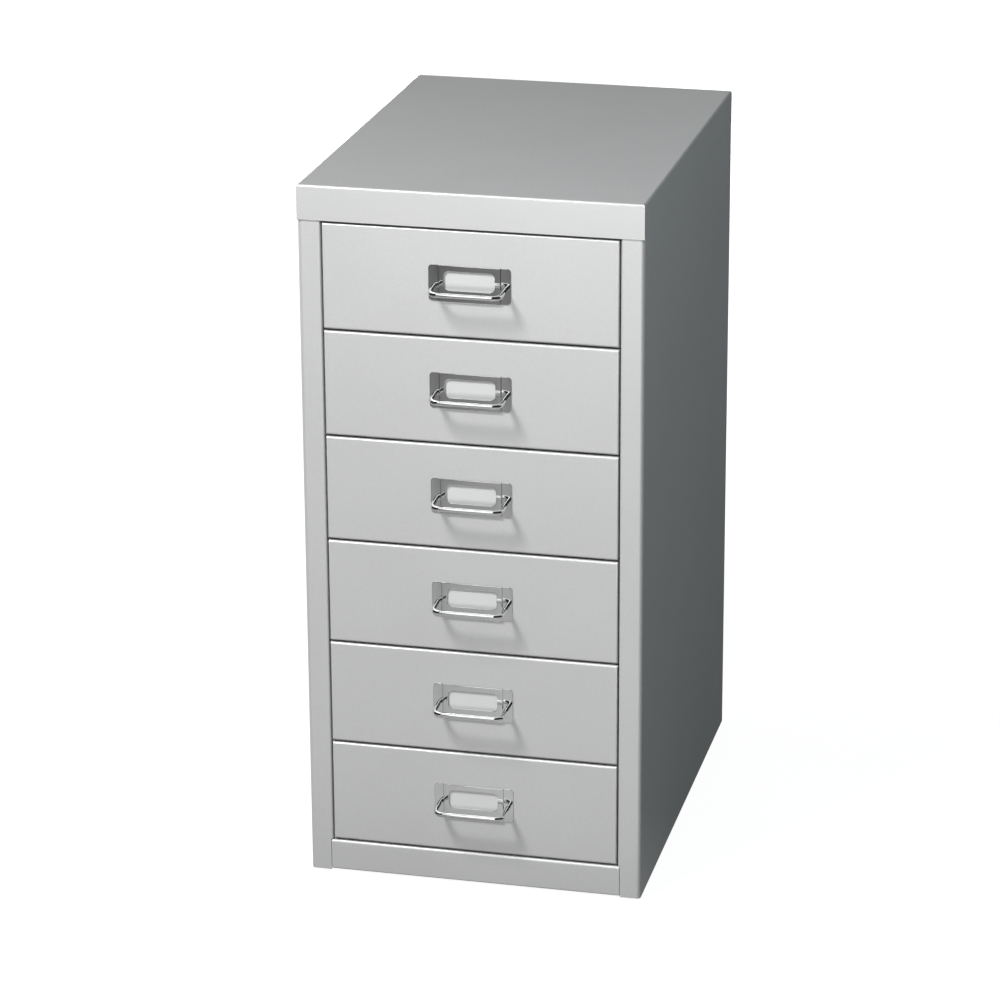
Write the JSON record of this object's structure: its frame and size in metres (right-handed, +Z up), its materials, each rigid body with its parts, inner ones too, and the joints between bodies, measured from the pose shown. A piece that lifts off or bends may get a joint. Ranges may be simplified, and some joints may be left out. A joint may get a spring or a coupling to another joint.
{
  "type": "drawer cabinet",
  "caption": "Narrow sheet-steel cabinet with a stack of shallow sliding drawers, each with a chrome card holder and wire pull.",
  "frame": {"origin": "on the floor, in the middle of the overall footprint (case, pulls and back rivets)", "axes": "+X to the right as one faces the drawers, +Y to the back, +Z up; the drawers slide out along -Y"},
  "size_m": [0.279, 0.4027, 0.59],
  "materials": {
    "silver_paint": "fine-grained silver-grey stove enamel, satin",
    "bright_chrome": "mirror plated",
    "label_card": "uncoated card, stood in for by matte plastic",
    "zinc_steel": "zinc plated",
    "glide_nylon": "natural nylon",
    "foot_rubber": "moulded",
    "rivet_aluminium": "bare domed heads"
  },
  "bodies": {
    "case": {"left_side_panel": "silver_paint", "right_side_panel": "silver_paint", "top_panel": "silver_paint", "back_panel": "silver_paint", "base_panel": "silver_paint", "plinth_rail": "silver_paint", "left_inner_panel": "silver_paint", "right_inner_panel": "silver_paint", "runner_pads": "glide_nylon", "feet": "foot_rubber", "back_rivets": "rivet_aluminium", "runner_pair_1": "zinc_steel", "runner_pair_2": "zinc_steel", "runner_pair_3": "zinc_steel", "runner_pair_4": "zinc_steel", "runner_pair_5": "zinc_steel", "runner_pair_6": "zinc_steel"},
    "drawer_1": {"drawer_1_front": "silver_paint", "drawer_1_tray": "silver_paint", "drawer_1_card_holder": "bright_chrome", "drawer_1_label_card": "label_card", "drawer_1_pull": "bright_chrome", "drawer_1_push_nuts": "zinc_steel", "drawer_1_glides": "glide_nylon"},
    "drawer_2": {"drawer_2_front": "silver_paint", "drawer_2_tray": "silver_paint", "drawer_2_card_holder": "bright_chrome", "drawer_2_label_card": "label_card", "drawer_2_pull": "bright_chrome", "drawer_2_push_nuts": "zinc_steel", "drawer_2_glides": "glide_nylon"},
    "drawer_3": {"drawer_3_front": "silver_paint", "drawer_3_tray": "silver_paint", "drawer_3_card_holder": "bright_chrome", "drawer_3_label_card": "label_card", "drawer_3_pull": "bright_chrome", "drawer_3_push_nuts": "zinc_steel", "drawer_3_glides": "glide_nylon"},
    "drawer_4": {"drawer_4_front": "silver_paint", "drawer_4_tray": "silver_paint", "drawer_4_card_holder": "bright_chrome", "drawer_4_label_card": "label_card", "drawer_4_pull": "bright_chrome", "drawer_4_push_nuts": "zinc_steel", "drawer_4_glides": "glide_nylon"},
    "drawer_5": {"drawer_5_front": "silver_paint", "drawer_5_tray": "silver_paint", "drawer_5_card_holder": "bright_chrome", "drawer_5_label_card": "label_card", "drawer_5_pull": "bright_chrome", "drawer_5_push_nuts": "zinc_steel", "drawer_5_glides": "glide_nylon"},
    "drawer_6": {"drawer_6_front": "silver_paint", "drawer_6_tray": "silver_paint", "drawer_6_card_holder": "bright_chrome", "drawer_6_label_card": "label_card", "drawer_6_pull": "bright_chrome", "drawer_6_push_nuts": "zinc_steel", "drawer_6_glides": "glide_nylon"}
  },
  "joints": [
    {"name": "drawer_1_slide", "type": "slide", "parent": "case", "child": "drawer_1", "axis": [0, -1, 0], "range_m": [0, 0.292]},
    {"name": "drawer_2_slide", "type": "slide", "parent": "case", "child": "drawer_2", "axis": [0, -1, 0], "range_m": [0, 0.292]},
    {"name": "drawer_3_slide", "type": "slide", "parent": "case", "child": "drawer_3", "axis": [0, -1, 0], "range_m": [0, 0.292]},
    {"name": "drawer_4_slide", "type": "slide", "parent": "case", "child": "drawer_4", "axis": [0, -1, 0], "range_m": [0, 0.292]},
    {"name": "drawer_5_slide", "type": "slide", "parent": "case", "child": "drawer_5", "axis": [0, -1, 0], "range_m": [0, 0.292]},
    {"name": "drawer_6_slide", "type": "slide", "parent": "case", "child": "drawer_6", "axis": [0, -1, 0], "range_m": [0, 0.292]}
  ]
}
